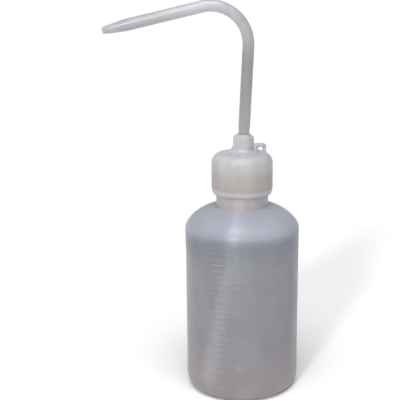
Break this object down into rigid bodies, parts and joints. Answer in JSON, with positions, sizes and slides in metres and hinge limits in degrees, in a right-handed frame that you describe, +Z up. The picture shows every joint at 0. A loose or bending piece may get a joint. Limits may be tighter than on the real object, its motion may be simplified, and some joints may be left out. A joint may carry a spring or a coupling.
{
  "type": "laboratory wash bottle",
  "caption": "Squeezable translucent bottle with a graduated round body, a screw cap with a central boss and eyelet, a bent spout with a drawn tip and a dip tube.",
  "frame": {"origin": "centre of the flat base, on the surface that the bottle stands on", "axes": "+Z up along the bottle's axis; the spout points towards -X; the graduated side faces -Y"},
  "size_m": [0.1068, 0.064, 0.2175],
  "materials": {
    "bottle_polyethylene": "satin, milky translucent",
    "cap_polyethylene": "satin, nearly opaque natural",
    "washer_foam": "matt foam",
    "tube_polyethylene": "smooth, milky translucent"
  },
  "bodies": {
    "bottle": {"bottle": "bottle_polyethylene"},
    "washer": {"sealing_washer": "washer_foam"},
    "cap": {"screw_cap": "cap_polyethylene", "dip_tube": "tube_polyethylene"},
    "spout": {"spout_tube": "tube_polyethylene"}
  },
  "joints": [
    {"name": "cap_rise", "type": "slide", "parent": "bottle", "child": "washer", "axis": [0, 0, 1], "range_m": [0, 0.009]},
    {"name": "cap_turn", "type": "hinge", "parent": "washer", "child": "cap", "pos_m": [0, 0, 0.1122], "axis": [0, 0, 1], "range_deg": [0, 810]},
    {"name": "spout_swivel", "type": "hinge", "parent": "cap", "child": "spout", "pos_m": [0, 0, 0.1264], "axis": [0.0506, 0, 0.9987], "continuous": true}
  ],
  "couplings": [
    {"joint": "cap_turn", "follows": "cap_rise", "rad_per_m": 1570.8}
  ]
}
